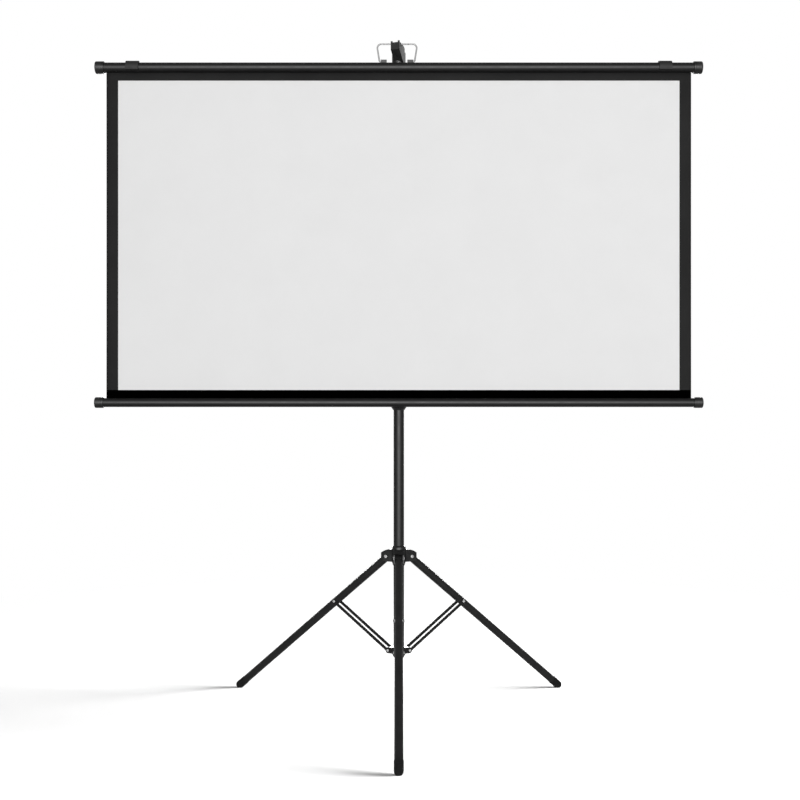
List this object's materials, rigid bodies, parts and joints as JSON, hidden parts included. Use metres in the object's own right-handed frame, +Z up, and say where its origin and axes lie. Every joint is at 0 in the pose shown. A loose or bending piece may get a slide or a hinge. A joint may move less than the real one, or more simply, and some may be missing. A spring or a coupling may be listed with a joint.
{
  "type": "portable projection screen",
  "caption": "Pull-up projection screen on a folding tripod, with a spring roller case below and a hooked bar above.",
  "frame": {"origin": "on the floor under the mast's axis, at the middle of the three feet", "axes": "+Z up along the mast, +X along the screen to the viewer's right, the screen faces -Y"},
  "size_m": [1.726, 0.8816, 1.9169],
  "materials": {
    "black_metal": "satin black powder coat",
    "black_plastic": "fine moulded texture",
    "bright_wire": "bright plated wire",
    "rivet_steel": "plain steel",
    "screen_cloth": "matt white coated cloth with a black border",
    "foot_rubber": "matt rubber",
    "inner_steel": "drawn steel"
  },
  "bodies": {
    "mast": {"mast_outer_tube": "black_metal", "mast_foot_plug": "black_plastic", "mast_bracket": "black_plastic", "case_screws": "rivet_steel", "case_tube": "black_metal", "case_cap_left": "black_plastic", "case_cap_right": "black_plastic", "spring_arbor": "inner_steel", "lower_collar": "black_plastic", "collar_rivets": "rivet_steel", "screen_fabric": "screen_cloth"},
    "mast_middle": {"mast_middle_tube": "black_metal", "middle_guide_bush": "black_plastic", "upper_clamp_collar": "black_plastic"},
    "mast_inner": {"mast_inner_tube": "inner_steel", "inner_guide_bush": "black_plastic", "hook_head": "black_plastic", "top_bar": "black_metal", "fabric_bead": "black_plastic", "bar_cap_left": "black_plastic", "bar_cap_right": "black_plastic", "bail_lugs": "black_plastic"},
    "bail": {"bail": "bright_wire"},
    "clip_left": {"bar_clip_left": "black_plastic"},
    "clip_right": {"bar_clip_right": "black_plastic"},
    "lower_knob": {"lower_clamp_knob": "black_plastic"},
    "upper_knob": {"upper_clamp_knob": "black_plastic"},
    "hub": {"hub": "black_plastic", "hub_rivets": "rivet_steel"},
    "hub_knob": {"hub_lock_knob": "black_plastic"},
    "roller": {"roller_tube": "inner_steel", "fabric_wraps": "screen_cloth", "roller_plug_left": "black_plastic", "roller_plug_right": "black_plastic", "roller_spring": "inner_steel"},
    "leg_front": {"leg_front": "black_metal", "leg_head_front": "black_plastic", "leg_bush_front": "rivet_steel", "foot_front": "foot_rubber"},
    "strut_front": {"strut_front": "black_metal", "strut_rivet_front": "rivet_steel"},
    "leg_right": {"leg_right": "black_metal", "leg_head_right": "black_plastic", "leg_bush_right": "rivet_steel", "foot_right": "foot_rubber"},
    "strut_right": {"strut_right": "black_metal", "strut_rivet_right": "rivet_steel"},
    "leg_left": {"leg_left": "black_metal", "leg_head_left": "black_plastic", "leg_bush_left": "rivet_steel", "foot_left": "foot_rubber"},
    "strut_left": {"strut_left": "black_metal", "strut_rivet_left": "rivet_steel"}
  },
  "joints": [
    {"name": "mast_extension", "type": "slide", "parent": "mast", "child": "mast_middle", "axis": [0, 0, 1], "range_m": [-0.44, 0], "deforming": ["screen_fabric"]},
    {"name": "inner_extension", "type": "slide", "parent": "mast_middle", "child": "mast_inner", "axis": [0, 0, 1], "range_m": [-0.44, 0]},
    {"name": "roller_spin", "type": "hinge", "parent": "mast", "child": "roller", "pos_m": [0, -0.04095, 0.8887], "axis": [1, 0, 0], "continuous": true},
    {"name": "bail_swing", "type": "hinge", "parent": "mast_inner", "child": "bail", "pos_m": [-0.005, -0.031, 1.8604], "axis": [1, 0, 0], "range_deg": [-1, 1]},
    {"name": "lower_clamp_turn", "type": "hinge", "parent": "mast", "child": "lower_knob", "pos_m": [0, 0.03, 0.9075], "axis": [0, 1, 0], "range_deg": [-270, 0]},
    {"name": "upper_clamp_turn", "type": "hinge", "parent": "mast_middle", "child": "upper_knob", "pos_m": [0, 0.03, 1.3865], "axis": [0, 1, 0], "range_deg": [-270, 0]},
    {"name": "hub_slide", "type": "slide", "parent": "mast", "child": "hub", "axis": [0, 0, 1], "range_m": [0, 0.18037]},
    {"name": "hub_lock_turn", "type": "hinge", "parent": "hub", "child": "hub_knob", "pos_m": [0, 0.03, 0.4504], "axis": [0, 1, 0], "range_deg": [-270, 0]},
    {"name": "clip_left_turn", "type": "hinge", "parent": "mast_inner", "child": "clip_left", "pos_m": [-0.757, -0.035, 1.8419], "axis": [1, 0, 0], "range_deg": [-40, 40]},
    {"name": "clip_right_turn", "type": "hinge", "parent": "mast_inner", "child": "clip_right", "pos_m": [0.757, -0.035, 1.8419], "axis": [1, 0, 0], "range_deg": [-40, 40]},
    {"name": "leg_front_fold", "type": "hinge", "parent": "hub", "child": "leg_front", "pos_m": [0, -0.036, 0.4454], "axis": [1, 0, 0], "range_deg": [0, 46.85]},
    {"name": "strut_front_fold", "type": "hinge", "parent": "mast", "child": "strut_front", "pos_m": [0, -0.029, 0.1753], "axis": [1, 0, 0], "range_deg": [-49.88, 0]},
    {"name": "leg_right_fold", "type": "hinge", "parent": "hub", "child": "leg_right", "pos_m": [0.03118, 0.018, 0.4454], "axis": [-0.5, 0.866, 0], "range_deg": [0, 46.85]},
    {"name": "strut_right_fold", "type": "hinge", "parent": "mast", "child": "strut_right", "pos_m": [0.02511, 0.0145, 0.1753], "axis": [-0.5, 0.866, 0], "range_deg": [-49.88, 0]},
    {"name": "leg_left_fold", "type": "hinge", "parent": "hub", "child": "leg_left", "pos_m": [-0.03118, 0.018, 0.4454], "axis": [-0.5, -0.866, 0], "range_deg": [0, 46.85]},
    {"name": "strut_left_fold", "type": "hinge", "parent": "mast", "child": "strut_left", "pos_m": [-0.02511, 0.0145, 0.1753], "axis": [-0.5, -0.866, 0], "range_deg": [-49.88, 0]}
  ],
  "couplings": [
    {"joint": "inner_extension", "follows": "mast_extension", "ratio": 1},
    {"joint": "leg_front_fold", "follows": "hub_slide", "rad_per_m": 4.5331},
    {"joint": "strut_front_fold", "follows": "hub_slide", "rad_per_m": -4.8262},
    {"joint": "leg_right_fold", "follows": "hub_slide", "rad_per_m": 4.5331},
    {"joint": "strut_right_fold", "follows": "hub_slide", "rad_per_m": -4.8262},
    {"joint": "leg_left_fold", "follows": "hub_slide", "rad_per_m": 4.5331},
    {"joint": "strut_left_fold", "follows": "hub_slide", "rad_per_m": -4.8262}
  ]
}
